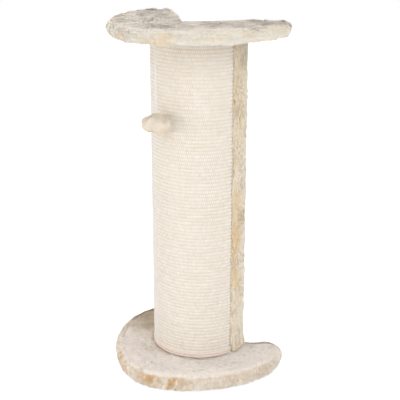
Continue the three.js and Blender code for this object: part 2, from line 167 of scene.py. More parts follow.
def lumps(points, spacing, seed, waves=9):
    """Smooth random field, mostly within -1 and 1, with lumps about one spacing apart."""
    dice = np.random.default_rng(seed)
    total = np.zeros(len(points))
    for direction in unit(dice.normal(size=(waves, 3))):
        pace = 2 * math.pi * dice.uniform(0.6, 1.5) / spacing
        total += np.sin(points @ direction * pace + dice.uniform(0, 2 * math.pi))
    return total / math.sqrt(waves / 2) / 1.4


def distance_to(points, *node_names):
    """Distance from each point to the nearest of these nodes' surfaces."""
    places, faces = [], []
    for node_name in node_names:
        mesh = nodes[node_name].data
        start = len(places)
        places += [tuple(vertex.co) for vertex in mesh.vertices]
        faces += [tuple(start + i for i in face.vertices) for face in mesh.polygons]
    tree = BVHTree.FromPolygons(places, faces)
    return np.array([tree.find_nearest(Vector(point))[3] for point in points])


def point_tree(points):
    tree = KDTree(len(points))
    for place, point in enumerate(points):
        tree.insert(point, place)
    tree.balance()
    return tree


def nearest(tree, points):
    """For each point, which of the tree's points is nearest, and how far away it is."""
    found = [tree.find(point) for point in points]
    return np.array([place for _, place, _ in found]), np.array([gap for _, _, gap in found])


def from_axis(points):
    """Each point's place in plan, seen from the post's axis."""
    return points[:, :2] - np.array(POST_AXIS)


def round_axis(points):
    """Each point's angle round the post's axis, 0 at the front."""
    x, y = from_axis(points).T
    return np.arctan2(x, -y)


def level(x, y):
    """Vectors that lie level."""
    return np.column_stack([x, y, np.zeros(len(x))])


def away_from_axis(points):
    """A level unit vector at each point, straight away from the post's axis."""
    return level(*unit(from_axis(points)).T)


def within_post(points, margin):
    """True for points inside the post's plan, drawn in by a margin."""
    before_notch = points[:, 1] < NOTCH_APEX + np.abs(points[:, 0]) - margin
    return (np.hypot(*from_axis(points).T) < PLUSH_RADIUS - margin) & before_notch


def point_attribute(mesh, name, values):
    attribute = mesh.attributes.get(name) or mesh.attributes.new(name, "FLOAT", "POINT")
    attribute.data.foreach_set("value", np.asarray(values, np.float32))


def unwrap(piece, name, places):
    """Gives a piece one UV map, from a place for each of its points."""
    maps = piece.data.uv_layers
    while maps:
        maps.remove(maps[0])
    corners = read(piece.data.loops, "vertex_index", kind=np.int32)
    maps.new(name=name).data.foreach_set("uv", places[corners].ravel())


def new_mesh(name, points, faces):
    """A piece from an array of points and a list of arrays of faces, one for each face size."""
    mesh = bpy.data.meshes.new(name)
    mesh.vertices.add(len(points))
    set_points(mesh, points)
    loops = np.concatenate([part.ravel() for part in faces])
    sizes = np.concatenate([np.full(len(part), part.shape[1]) for part in faces])
    starts = np.concatenate([[0], np.cumsum(sizes)[:-1]])
    mesh.loops.add(len(loops))
    mesh.loops.foreach_set("vertex_index", loops.astype(np.int32))
    mesh.polygons.add(len(sizes))
    mesh.polygons.foreach_set("loop_start", starts.astype(np.int32))
    mesh.update(calc_edges=True)
    mesh.validate()
    return add_object(name, mesh)


def blades(name, root, bend, tip, side, narrowing=1.0):
    """Flat blades of five points: two beside the root, two beside the bend, and the tip."""
    corners = np.stack([root - side, root + side, bend - side * narrowing,
                        bend + side * narrowing, tip], axis=1)
    corners[:, :, 2] = np.maximum(corners[:, :, 2], LOWEST)
    first = np.arange(len(root))[:, None] * 5
    quads, ends = first + np.array([1, 0, 2, 3]), first + np.array([3, 2, 4])
    return new_mesh(name, corners.reshape(-1, 3), [quads, ends])


def copies_of(shape, name, places):
    """One piece that holds a copy of a small shape at each place, a turn about Z and a point."""
    points, faces = points_of(shape.data), [tuple(face.vertices) for face in shape.data.polygons]
    bpy.data.objects.remove(shape)
    moved, by_size = [], {}
    for place, (angle, point) in enumerate(places):
        cosine, sine = math.cos(angle), math.sin(angle)
        turn = np.array([[cosine, -sine, 0], [sine, cosine, 0], [0, 0, 1]])
        moved.append(points @ turn.T + np.array(point))
        for face in faces:
            by_size.setdefault(len(face), []).append([place * len(points) + k for k in face])
    return new_mesh(name, np.concatenate(moved), [np.array(group) for group in by_size.values()])


def smooth(piece, angle=None):
    pick(piece)
    if angle is None:
        bpy.ops.object.shade_smooth()
    else:
        bpy.ops.object.shade_smooth_by_angle(angle=math.radians(angle))


def fit_out(piece, body, slot, material, *replaced):
    """Gives a finished piece its material and its body, and hides the nodes it stands for. Its slot
    is not used.
    """
    piece.data.materials.clear()
    piece.data.materials.append(material)
    if replaced:
        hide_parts(*replaced)
    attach(piece, body)


# -------- camera

camera = add_object("camera", bpy.data.cameras.new("camera"))
camera.location = (1.1483, -1.4169, 0.9960)
camera.rotation_euler = (math.radians(90 - 18.77), 0, math.radians(37.82))
camera.data.lens = 82.48
camera.data.sensor_width = 36
camera.data.clip_start = 0.05
bpy.context.scene.camera = camera


# -------- finishes


def paint(red, green, blue):
    """A colour as mixed on a paint card, 0 to 255, for a shader's socket."""
    def linear(value):
        value /= 255
        return value / 12.92 if value <= 0.04045 else ((value + 0.055) / 1.055) ** 2.4
    return (linear(red), linear(green), linear(blue), 1)


class Nodes:
    """Shader nodes, added and joined one by one."""

    def __init__(self, tree):
        self.tree = tree

    def feed(self, socket, value):
        """Puts a value, or another node's output, on a socket."""
        if isinstance(value, bpy.types.NodeSocket):
            self.tree.links.new(value, socket)
        else:
            socket.default_value = value

    def add(self, kind, sockets={}, **settings):
        node = self.tree.nodes.new(kind)
        for setting, value in settings.items():
            setattr(node, setting, value)
        for socket, value in sockets.items():
            self.feed(node.inputs[socket], value)
        return node

    def combine(self, first, second, operation):
        node = self.add("ShaderNodeMath", {0: first, 1: second}, operation=operation)
        return node.outputs["Value"]

    def seen(self):
        """1 for what the camera sees, directly or mirrored, and 0 for light on other things."""
        path = self.add("ShaderNodeLightPath")
        return self.combine(path.outputs["Is Camera Ray"], path.outputs["Is Glossy Ray"], "MAXIMUM")


class Finish(Nodes):
    """A material built up round one Principled shader."""

    def __init__(self, name, roughness, **sockets):
        self.material = bpy.data.materials.new(name)
        self.material.use_nodes = True
        super().__init__(self.material.node_tree)
        self.shader = self.tree.nodes["Principled BSDF"]
        for socket, value in {"Roughness": roughness, **sockets}.items():
            self.finish_with(socket.replace("_", " "), value)
        self.coordinates = self.add("ShaderNodeTexCoord")

    def finish_with(self, socket, value):
        self.feed(self.shader.inputs[socket], value)

    def stretched(self, scale, source="Object", turn=(0, 0, 0)):
        """The piece's coordinates, scaled along each axis and turned."""
        mapping = self.add("ShaderNodeMapping", {
            "Vector": self.coordinates.outputs[source], "Scale": scale, "Rotation": turn})
        return mapping.outputs["Vector"]

    def noise(self, scale, detail=2.0, roughness=0.5, vector=None, distortion=0.0):
        node = self.add("ShaderNodeTexNoise", {
            "Vector": vector or self.coordinates.outputs["Object"], "Scale": scale,
            "Detail": detail, "Roughness": roughness, "Distortion": distortion})
        return node.outputs["Fac"]

    def bands(self, scale, vector, distortion=0.0):
        """Waves across the first axis of the vector."""
        node = self.add("ShaderNodeTexWave", {
            "Vector": vector, "Scale": scale, "Distortion": distortion},
            wave_type="BANDS", bands_direction="X")
        return node.outputs["Fac"]

    def attribute(self, name):
        return self.add("ShaderNodeAttribute", attribute_name=name).outputs["Fac"]

    def span(self, value, low, high, to_low=0.0, to_high=1.0):
        """Maps low and high to to_low and to_high, smoothly between them."""
        node = self.add("ShaderNodeMapRange", {
            "Value": value, "From Min": low, "From Max": high, "To Min": to_low,
            "To Max": to_high}, interpolation_type="SMOOTHSTEP")
        return node.outputs["Result"]

    def blend(self, factor, first, second, how="MIX"):
        node = self.add("ShaderNodeMix", {0: factor, 6: first, 7: second}, data_type="RGBA",
                        blend_type=how, clamp_factor=True)
        return node.outputs[2]

    def ramp(self, value, low, high, low_colour, high_colour):
        """One colour at low and another at high."""
        return self.blend(self.span(value, low, high), paint(*low_colour), paint(*high_colour))

    def colour(self, source):
        self.finish_with("Base Color", source)

    def bump(self, height, depth):
        """Raises the surface by a pattern, up to a depth, and gives the finished material."""
        node = self.add("ShaderNodeBump", {"Distance": depth, "Height": height})
        self.finish_with("Normal", node.outputs["Normal"])
        return self.material


def pile_finish(name, tip, middle, root, patch, wide, tall, share, start=0.44, fade=()):
    """Long-pile plush: golden at the roots, cream at the tips, with patches of another shade, so
    wide and so tall, that replace up to this share of it. On the top face and the base's top these
    patches are painted shade. A lower start gives larger patches, and each entry of fade thins them
    out along one axis."""
    finish = Finish(name, 0.9, Sheen_Weight=0.5, Sheen_Roughness=0.6, Specular_IOR_Level=0.2)
    along = finish.attribute("along")
    tone = finish.attribute("tone")
    lower = finish.ramp(along, 0.0, 0.3, root, middle)
    whole = finish.blend(finish.span(along, 0.2, 0.65), lower, paint(*tip))
    patches = finish.noise(1.0, 3.0, 0.6, finish.stretched((1 / wide, 1 / wide, 1 / tall)))
    regions = finish.span(finish.noise(9, detail=1.0), 0.38, 0.62, 0.3, 1.0)
    amount = finish.combine(
        finish.span(patches, start, start + 0.22, 0.0, share), regions, "MULTIPLY")
    place = finish.add("ShaderNodeSeparateXYZ", {0: finish.coordinates.outputs["Object"]})
    for axis, low, high, at_low, at_high in fade:
        part = finish.span(place.outputs[axis], low, high, at_low, at_high)
        amount = finish.combine(amount, part, "MULTIPLY")
    patched = finish.blend(amount, whole, paint(*patch))
    shade = finish.blend(finish.span(tone, -1.0, 1.0), (0.95, 0.935, 0.905, 1), (1, 1, 1, 1))
    toned = finish.blend(1.0, patched, shade, "MULTIPLY")
    fine = finish.span(finish.noise(260), 0.3, 0.7)
    speckle = finish.blend(fine, (0.975, 0.97, 0.96, 1), (1, 1, 1, 1))
    finish.colour(finish.blend(1.0, toned, speckle, "MULTIPLY"))
    return finish.material


def backing_finish():
    """Knitted backing under the pile, with the shade between the tufts."""
    finish = Finish("plush backing", 1.0, Specular_IOR_Level=0.1)
    tufts = finish.noise(320, detail=3.0)
    finish.colour(finish.ramp(tufts, 0.35, 0.65, (245, 231, 206), (252, 244, 230)))
    return finish.bump(tufts, 0.0008)


def sisal_finish():
    """Bleached sisal yarn: pale crowns, with tan painted shade down in the rows and low loops between
    them.
    """
    finish = Finish("woven sisal", 0.85, Specular_IOR_Level=0.25, Sheen_Weight=0.1)
    crown = finish.attribute("crown")
    tone = finish.attribute("tone")
    strands = finish.noise(1.0, 3.0, 0.6, finish.stretched((5.5, 0.9, 1), "UV", (0, 0, 0.5)))
    # Painted shade: darker tan where the crown value is low, down between the rows and on the low
    # loops.
    valley_shade = finish.ramp(tone, -1, 1, (231, 214, 192), (241, 228, 211))
    crowns = finish.ramp(tone, -1, 1, (250, 246, 240), (255, 253, 250))
    rows = finish.blend(finish.span(crown, 0.05, 0.65), valley_shade, crowns)
    # Painted shade: dark tan in the row valleys at the mat's side edges, where the crown value drops
    # below 0.
    seam_valley_shade = finish.span(crown, -0.6, -0.05, 0.9, 0.0)
    yarn = finish.blend(seam_valley_shade, rows, paint(180, 144, 98))
    twist = finish.span(strands, 0.35, 0.62, 0.0, 0.2)
    stranded = finish.blend(twist, yarn, paint(242, 229, 208))
    batches = finish.span(finish.noise(11), 0.5, 0.75, 0.0, 0.2)
    finish.colour(finish.blend(batches, stranded, paint(246, 236, 218)))
    return finish.bump(strands, 0.0009)


def fibre_finish():
    finish = Finish("sisal fibre", 0.7, Specular_IOR_Level=0.3)
    tone = finish.attribute("tone")
    finish.colour(finish.ramp(tone, -1, 1, (216, 192, 152), (248, 240, 224)))
    return finish.material


def tape_finish():
    """Cotton binding tape with a fine rib along its length."""
    finish = Finish("binding tape", 0.85, Sheen_Weight=0.2, Specular_IOR_Level=0.2)
    rib = finish.bands(1.0, finish.stretched((220, 1, 1), "UV"), distortion=0.6)
    cloud = finish.noise(60, detail=3.0)
    dyed = finish.ramp(cloud, 0.3, 0.7, (255, 234, 222), (255, 243, 232))
    grooves = finish.span(rib, 0.0, 0.5, 0.18, 0.0)
    finish.colour(finish.blend(grooves, dyed, paint(238, 206, 188)))
    return finish.bump(rib, 0.0002)


def thread_finish():
    finish = Finish("sewing thread", 0.6, Specular_IOR_Level=0.4)
    twist = finish.noise(900)
    finish.colour(finish.ramp(twist, 0.3, 0.7, (226, 204, 188), (245, 233, 222)))
    return finish.bump(twist, 0.0001)


def elastic_finish():
    """Braided cover of an elastic cord."""
    finish = Finish("elastic braid", 0.6, Sheen_Weight=0.15, Specular_IOR_Level=0.35)
    one_way, other_way = (
        finish.bands(1.4, finish.stretched((6, 6, 6), "UV", (0, 0, turn))) for turn in (0.78, -0.78))
    braid = finish.combine(one_way, other_way, "MAXIMUM")
    cover = finish.ramp(braid, 0.4, 0.95, (214, 210, 203), (250, 248, 244))
    grime = finish.span(finish.noise(40), 0.45, 0.75, 0.0, 0.25)
    finish.colour(finish.blend(grime, cover, paint(232, 226, 214)))
    return finish.bump(braid, 0.0002)


def felt_finish():
    """Needled felt with stray fibres."""
    finish = Finish("underside felt", 1.0, Specular_IOR_Level=0.1, Sheen_Weight=0.3)
    fibres = finish.noise(700, 4.0, 0.7, finish.stretched((1, 1, 0.4)), distortion=1.5)
    cloud = finish.noise(45, detail=3.0)
    base = finish.ramp(cloud, 0.3, 0.7, (206, 194, 174), (222, 211, 192))
    stray = finish.span(fibres, 0.45, 0.7, 0.0, 0.6)
    finish.colour(finish.blend(stray, base, paint(240, 233, 220)))
    return finish.bump(fibres, 0.0005)


def particle_board_finish():
    """Pressed wood chips."""
    finish = Finish("pressed board", 0.8, Specular_IOR_Level=0.3)
    slanted = finish.stretched((1, 0.6, 1.6), turn=(0.1, 0.2, 0.4))
    chips = finish.add("ShaderNodeTexVoronoi", {"Vector": slanted, "Scale": 330}, feature="F1")
    chip_tone = finish.add("ShaderNodeSeparateColor", {"Color": chips.outputs["Color"]})
    tan = finish.blend(chip_tone.outputs["Red"], paint(170, 133, 88), paint(218, 188, 142))
    grain = finish.noise(140, 4.0, 0.65, finish.stretched((1, 6, 2)))
    finish.colour(finish.blend(finish.span(grain, 0.4, 0.7, 0.0, 0.45), tan, paint(140, 103, 64)))
    return finish.bump(chips.outputs["Distance"], 0.0004)


def zinc_finish():
    """Zinc-plated steel with fine draw lines and dull spots."""
    finish = Finish("zinc-plated steel", 0.35, Metallic=1.0)
    spots = finish.noise(420, detail=3.0)
    finish.colour(finish.ramp(spots, 0.35, 0.7, (206, 208, 212), (176, 178, 180)))
    finish.finish_with("Roughness", finish.span(spots, 0.3, 0.7, 0.28, 0.5))
    lines = finish.noise(1800, vector=finish.stretched((1, 1, 0.05)))
    return finish.bump(lines, 0.00004)


# Painted shade: grey patches darken the top face where the pile's lay would shade it. They thin out
# towards the front edge and leave a lighter band there as a painted highlight.
top_pile = pile_finish(
    "top pile", tip=(247, 240, 231), middle=(244, 236, 224), root=(238, 224, 200),
    patch=(205, 196, 186), wide=0.06, tall=0.06, share=0.95, start=0.36,
    fade=[("Y", -0.125, -0.07, 0.15, 1.0)])
top_rim_pile = pile_finish(
    "top rim pile", tip=(255, 252, 244), middle=(255, 249, 236), root=(254, 241, 216),
    patch=(255, 230, 192), wide=0.05, tall=0.02, share=0.6, start=0.42)
# Painted shadow: the tan-grey patches gather at the base's left back, where the post's shadow falls,
# and thin out towards the front and the right.
base_pile = pile_finish(
    "base pile", tip=(255, 248, 242), middle=(255, 246, 238), root=(253, 238, 222),
    patch=(212, 192, 163), wide=0.09, tall=0.09, share=1.0, start=0.26,
    fade=[("X", -0.05, 0.03, 1.0, 0.08), ("Y", -0.08, 0.03, 0.1, 1.0)])
base_rim_pile = pile_finish(
    "base rim pile", tip=(255, 248, 238), middle=(254, 240, 219), root=(244, 217, 172),
    patch=(224, 182, 120), wide=0.018, tall=0.05, share=1.0, start=0.3,
    fade=[("Z", 0.020, 0.050, 1.0, 0.15), ("X", -0.15, -0.08, 0.15, 1.0),
          ("X", 0.05, 0.12, 1.0, 0.2)])
side_pile = pile_finish(
    "post side pile", tip=(255, 249, 238), middle=(254, 243, 222), root=(246, 224, 186),
    patch=(248, 224, 180), wide=0.03, tall=0.09, share=0.9, start=0.3,
    fade=[("Y", 0.05, 0.085, 1.0, 0.15)])
toy_pile = pile_finish(
    "toy pile", tip=(248, 239, 226), middle=(246, 233, 214), root=(242, 221, 188),
    patch=(243, 222, 186), wide=0.03, tall=0.03, share=0.7)
plush_backing = backing_finish()
sisal = sisal_finish()
sisal_fibre = fibre_finish()
tape = tape_finish()
thread = thread_finish()
elastic = elastic_finish()
felt = felt_finish()
board = particle_board_finish()
steel = zinc_finish()


# -------- elastic cord, first of the pieces


def braided_tube(name, path, radius, sides=12):
    """A closed tube along a path of points. Its UV map counts half girths, round it and along."""
    path = np.asarray(path, float)
    ahead = unit(np.gradient(path, axis=0))
    side = np.cross(ahead[0], (1, 0, 0) if abs(ahead[0][0]) < 0.9 else (0, 1, 0))
    points = []
    for place, forward in zip(path, ahead):
        side = side - forward * side.dot(forward)
        side = side / np.linalg.norm(side)
        other = np.cross(forward, side)
        for k in range(sides):
            angle = 2 * math.pi * k / sides
            points.append(place + radius * (math.cos(angle) * side + math.sin(angle) * other))
    rings = len(path)
    ring, k = np.meshgrid(np.arange(rings - 1), np.arange(sides), indexing="ij")
    a, b = ring * sides + k, ring * sides + (k + 1) % sides
    walls = np.stack([a, b, b + sides, a + sides], axis=-1).reshape(-1, 4)
    turn = np.stack([k, k + 1, k + 1, k], axis=-1).ravel()
    reached = np.stack([ring, ring, ring + 1, ring + 1], axis=-1).ravel()
    dome = radius * 0.4
    points += [path[0] - ahead[0] * dome, path[-1] + ahead[-1] * dome]
    k = np.arange(sides)
    start = np.stack([np.full(sides, rings * sides), (k + 1) % sides, k], axis=-1)
    last = (rings - 1) * sides
    end = np.stack([np.full(sides, rings * sides + 1), last + k, last + (k + 1) % sides], axis=-1)
    piece = new_mesh(name, points, [walls, start, end])
    run = np.concatenate([[0], np.cumsum(np.linalg.norm(np.diff(path, axis=0), axis=1))])
    uv = np.zeros((len(piece.data.loops), 2))
    uv[:len(turn), 0] = turn / sides * 2
    uv[:len(turn), 1] = run[reached] / (2 * math.pi * radius) * 2
    piece.data.uv_layers.new(name="braid").data.foreach_set("uv", uv.ravel())
    smooth(piece)
    return piece


def stretch_of_elastic(path):
    """The elastic between its knots, with the small swellings of its braid."""
    swelling, swelling_pitch = 0.035, 0.0031
    piece = braided_tube("elastic_cord_braid", path, 0.00145)
    points = points_of(piece.data)
    swell = 1 + swelling * np.sin(points[:, 2] * 2 * math.pi / swelling_pitch)
    middle = np.array([CORD_X, CORD_Y])
    points[:, :2] = middle + (points[:, :2] - middle) * swell[:, None]
    set_points(piece.data, points)
    piece.data.materials.append(elastic)
    return piece


cord_start, cord_end, cord_steps = CORD_TOP + CORD_IN_KNOT, CORD_BOTTOM - CORD_IN_KNOT, 119
cord_path = [(CORD_X, CORD_Y, cord_start + (cord_end - cord_start) * i / cord_steps)
             for i in range(cord_steps + 1)]
elastic_cord = stretch_of_elastic(cord_path)
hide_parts("elastic_cord")
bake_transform(elastic_cord)


def overhand_knot(name, height, size, radius, tail):
    """A pulled-tight overhand knot of the cord, with its cut end sticking out."""
    t = np.linspace(0, 2 * math.pi, 110)
    x = size * (np.sin(t) + 1.6 * np.sin(2 * t)) / 2.6
    y = size * (np.cos(t) - 1.6 * np.cos(2 * t)) / 2.6
    z = -size * 0.55 * np.sin(3 * t)
    loop = np.column_stack([x, y * 0.9, z])[4:-8]
    end = loop[-1] + np.array([tail * 0.8, -tail * 0.5, -tail * 0.25])
    cut_end = loop[-1] + (end - loop[-1]) * np.linspace(0.15, 1, 6)[:, None]
    path = np.vstack([loop, cut_end]) + np.array([CORD_X, CORD_Y, height])
    return braided_tube(name, path, radius, 8)


top_knot = overhand_knot(
    "elastic_top_knot_tied", TOP_KNOT, size=0.00155, radius=0.00115, tail=0.0012)
fit_out(top_knot, "top_knot", "elastic", elastic, "elastic_top_knot")
lower_knot = overhand_knot(
    "elastic_lower_knot_tied", LOWER_KNOT, size=0.0018, radius=0.0012, tail=0.0006)
fit_out(lower_knot, "lower_knot", "elastic", elastic, "elastic_lower_knot")


# -------- plush


def edge_share(out):
    """1 where the skin turns from flat to upright."""
    flatness = np.abs(out[:, 2])
    return smoothstep(0.1, 0.4, flatness) * (1 - smoothstep(0.85, 0.99, flatness))


def backing_cloth(name, node_name, cores, sink, voxel, shape=None):
    """The node's cloth, sunk by the depth of its pile where it faces outwards, and let wave a
    little. Its inner faces stay against the cores."""
    skin = even_copy(node_name, name, voxel)
    points, normals = points_of(skin.data), normals_of(skin.data)
    outer = smoothstep(0.0028, 0.0048, distance_to(points, *cores))
    wave = 0.0007 * lumps(points, 0.05, 3) + 0.0004 * lumps(points, 0.018, 4)
    corner = 0.0010 * edge_share(normals)
    moved = points + normals * (outer * (wave - sink - corner))[:, None]
    if shape is not None:
        moved = shape(points, moved, outer)
    set_points(skin.data, moved)
    point_attribute(skin.data, "outer", outer)
    smooth(skin)
    fit_out(skin, "root", "plush", plush_backing, node_name)
    return skin


def scatter(skin, count, density, dice):
    """Roots spread over a skin's outer faces by a density, with the way out of the skin there."""
    mesh = skin.data
    mesh.calc_loop_triangles()
    triangles = read(mesh.loop_triangles, "vertices", 3, np.int32)
    points, normals = points_of(mesh), normals_of(mesh)
    outer = read(mesh.attributes["outer"].data, "value", kind=np.float32)
    corners = points[triangles]
    crossed = np.cross(corners[:, 1] - corners[:, 0], corners[:, 2] - corners[:, 0])
    size = np.linalg.norm(crossed, axis=1)
    weight = size * outer[triangles].min(axis=1) * density(corners.mean(axis=1), unit(crossed))
    chosen = triangles[dice.choice(len(weight), count, p=weight / weight.sum())]
    share = dice.random((count, 2))
    beyond = share.sum(axis=1) > 1
    share[beyond] = 1 - share[beyond]
    shares = np.column_stack([1 - share.sum(axis=1), share])[:, :, None]
    return (points[chosen] * shares).sum(axis=1), unit((normals[chosen] * shares).sum(axis=1))


def grow_pile(name, skin, finish, count, seed, density, lay, length, lean, pull, width=0.0009,
              tuft_share=0.03, body="root", slot="plush"):
    """Blades of pile on a skin. Density, lay, length and lean are functions of the roots and the
    skin's normals there, so that the pile lies one way on top and hangs on the rims. Pull draws
    the blades to the leader of their tuft, and tuft_share is the leaders' share of all blades."""
    straying, uneven_lean, curl = 0.22, 0.07, (-0.28, 0.22)
    dice = np.random.default_rng(seed)
    root, out = scatter(skin, count, density, dice)
    direction = lay(root, out) + dice.normal(size=(count, 3)) * straying
    along = unit(direction - out * (direction * out).sum(axis=1)[:, None])
    half_blade = (length(root, out) * dice.uniform(0.75, 1.2, count) * 0.5)[:, None]
    tilt = (lean(root, out) + dice.normal(size=count) * uneven_lean)[:, None]
    low_tilt, high_tilt = np.clip(tilt + curl[0], 0.05, 1.5), np.clip(tilt + curl[1], 0.1, 1.5)
    bend = root + (out * np.cos(low_tilt) + along * np.sin(low_tilt)) * half_blade
    tip = bend + (out * np.cos(high_tilt) + along * np.sin(high_tilt)) * half_blade

    leaders = np.sort(dice.choice(count, int(count * tuft_share), replace=False))
    tuft = nearest(point_tree(root[leaders]), root)[0]
    leader = leaders[tuft]
    bend = bend + (bend[leader] - bend) * pull * 0.35
    tip = tip + (tip[leader] - tip) * pull
    tone = 0.6 * dice.uniform(-1, 1, len(leaders))[tuft] + 0.4 * dice.uniform(-1, 1, count)

    roll = dice.normal(size=count)[:, None] * 0.5
    forward = unit(tip - root)
    across = np.cross(out, along)
    edge = across * np.cos(roll) + np.cross(across, forward) * np.sin(roll)
    facing = unit(np.cross(forward, edge))
    outwards = np.sign((facing * out).sum(axis=1))[:, None]
    edge, facing = edge * outwards, facing * outwards
    half_width = (width * dice.uniform(0.7, 1.25, count) / 2)[:, None]
    piece = blades(name, root, bend, tip, edge * half_width, narrowing=0.85)
    point_attribute(piece.data, "along", np.tile([0, 0, 0.55, 0.55, 1.0], count))
    point_attribute(piece.data, "tone", np.repeat(tone, 5))
    cells = math.ceil(math.sqrt(count))
    cell = np.column_stack([np.arange(count) % cells, np.arange(count) // cells])
    in_cell = np.array([[0.15, 0.05], [0.85, 0.05], [0.2, 0.55], [0.8, 0.55], [0.5, 0.95]])
    unwrap(piece, "blades", (cell[:, None, :] + in_cell[None]).reshape(-1, 2) / cells)
    smooth(piece)
    soft = unit(0.2 * out + 0.8 * facing)
    piece.data.normals_split_custom_set_from_vertices(np.repeat(soft, 5, axis=0))
    fit_out(piece, body, slot, finish)


def steady(value):
    return lambda root, out: np.full(len(root), value)


def brushed(heading, swirl, drop, spacing, seed):
    """Lay of the pile: brushed along a heading that wanders from patch to patch, and downwards."""
    def lay(root, out):
        angle = heading + swirl * lumps(root, spacing, seed)
        return level(np.cos(angle), np.sin(angle)) - np.array([0, 0, drop])
    return lay


def combed_over(lay, skin):
    """Turns a lay outwards near the plate's rim, so that the pile falls over its edge. Also gives
    how near each root is to the rim."""
    points, normals = points_of(skin.data), normals_of(skin.data)
    rim = (np.abs(normals[:, 2]) < 0.3) & ~within_post(points, -0.012)
    rim_tree, rim_normals = point_tree(points[rim]), normals[rim]

    def nearness(root):
        return 1 - smoothstep(0.004, 0.035, nearest(rim_tree, root)[1])

    def combed(root, out):
        near = nearness(root)[:, None]
        outward = rim_normals[nearest(rim_tree, root)[0]] + np.array([0, 0, -0.6])
        return lay(root, out) * (1 - near) + outward * near
    return combed, nearness


def near_post(places):
    """1 at the post's foot, falling to 0 a little way out from it."""
    return 1 - smoothstep(MAT_FACE, MAT_FACE + 0.012, np.linalg.norm(from_axis(places), axis=1))


def clear_of_post(lay):
    """Pushes the pile aside where the post stands in it."""
    def pushed(root, out):
        near = near_post(root)[:, None]
        return lay(root, out) * (1 - near) + away_from_axis(root) * near
    return pushed


def close_in_notch(lean):
    """A lean that lays the pile flat where it faces the wall corner."""
    return lambda root, out: lean + (1.45 - lean) * smoothstep(0.1, 0.4, out[:, 1])


def rim_share(out):
    """The rim's share of the pile, less at the upper edges that face the wall corner."""
    over_edge = 0.45 * smoothstep(0.05, 0.3, out[:, 1]) * (out[:, 2] > 0)
    return 1 - smoothstep(0.35, 0.85, np.abs(out[:, 2]) + over_edge)


def flat_share(out):
    return 1 - rim_share(out)


def shared(cover, share):
    return lambda middle, out: cover(middle, out) * share(out)


def base_cover(middle, out):
    """Where the base's pile grows: sparse underneath, and not under the post."""
    underneath = (out[:, 2] < -0.5) & (middle[:, 2] < 0.01)
    bare = within_post(middle, 0.003) & (middle[:, 2] > 0.02)
    return np.where(bare, 0, np.where(underneath, 0.12, 1.0 + 1.5 * edge_share(out)))


def top_cover(middle, out):
    """Where the top plate's pile grows: half as dense underneath, and not over the post."""
    bare = within_post(middle, 0.003) & (middle[:, 2] < TOP_UNDERSIDE + 0.012)
    return np.where(bare, 0, np.where(out[:, 2] < -0.7, 0.5, 1.0 + 1.5 * edge_share(out)))


def base_seat(points, moved, outer):
    """Holds the base's cloth off the floor, and brings it up to the post's foot."""
    moved[:, 2] = np.maximum(moved[:, 2], LOWEST)
    top = points[:, 2] > BASE_TOP - 0.001
    moved[:, 2] += np.maximum(BASE_TOP - 0.0008 - moved[:, 2], 0) * near_post(points) * top
    return moved


base_skin = backing_cloth(
    "base_plush_backing", "base_plush", ["base_board"], sink=0.0034, voxel=0.0032, shape=base_seat)
base_lay, base_nearness = combed_over(brushed(3.5, 0.35, 1.3, 0.09, 21), base_skin)
grow_pile(
    "base_top_pile", base_skin, base_pile, 66000, 11, shared(base_cover, flat_share),
    clear_of_post(base_lay), length=steady(0.0075),
    lean=lambda root, out: 1.40 + 0.25 * base_nearness(root), pull=0.1)
grow_pile(
    "base_rim_pile", base_skin, base_rim_pile, 46000, 14, shared(base_cover, rim_share),
    brushed(3.5, 1.0, 2.2, 0.05, 24), length=steady(0.0085), lean=close_in_notch(1.12), pull=0.5,
    tuft_share=0.02)

top_skin = backing_cloth("top_plush_backing", "top_plush", ["top_board"], sink=0.0034, voxel=0.0032)
top_lay, top_nearness = combed_over(brushed(0.7, 0.5, 0.9, 0.05, 22), top_skin)
grow_pile(
    "top_face_pile", top_skin, top_pile, 66000, 12, shared(top_cover, flat_share), top_lay,
    length=steady(0.0075), lean=lambda root, out: 1.36 + 0.28 * top_nearness(root), pull=0.1)
grow_pile(
    "top_rim_pile", top_skin, top_rim_pile, 46000, 15, shared(top_cover, rim_share),
    brushed(0.7, 0.8, 1.2, 0.05, 25), length=steady(0.0080), lean=close_in_notch(1.25), pull=0.2)


def underside_sheet():
    """The felt that closes the top plate from below, a little uneven."""
    sheet = even_copy("top_underside_lining", "underside_felt", 0.0016)
    points, normals = points_of(sheet.data), normals_of(sheet.data)
    uneven = 0.00025 * lumps(points, 0.03, 51) + 0.0001 * lumps(points, 0.007, 52) - 0.0002
    set_points(sheet.data, points + normals * uneven[:, None])
    smooth(sheet, 40)
    return sheet


fit_out(underside_sheet(), "root", "lining", felt, "top_underside_lining")


def hem_staples(count=26):
    """Wide-crown staples that hold the top plate's hem, just outside the felt."""
    crown, wire_width, wire_depth = 0.0100, 0.0012, 0.0007
    outside_felt, depth_in_pile = 0.005, 0.0029
    pick()
    bpy.ops.mesh.primitive_cube_add(size=1)
    staple = bpy.context.object
    staple.scale = (crown, wire_width, wire_depth)
    settle(staple, "hem_staples")
    bevel = staple.modifiers.new("round wire", "BEVEL")
    bevel.width = 0.0003
    bevel.segments = 2
    apply_modifiers(staple)
    rim = points_of(nodes["top_underside_lining"].data)
    rim = rim[~within_post(rim, -0.004)]
    bearing = np.arctan2(rim[:, 0], -rim[:, 1])
    places = []
    for angle in np.linspace(-2.2, 2.2, count):
        near = rim[np.abs(bearing - angle) < 0.09]
        if len(near) == 0:
            continue
        point = near[np.argmax(np.hypot(near[:, 0], near[:, 1]))]
        outward = unit(point[None, :2])[0]
        x, y = point[:2] + outward * outside_felt
        turn = math.atan2(outward[1], outward[0]) + math.pi / 2
        places.append((turn, (x, y, TOP_UNDERSIDE + depth_in_pile)))
    piece = copies_of(staple, "hem_staples", places)
    smooth(piece, 40)
    return piece


fit_out(hem_staples(), "root", "steel", steel)


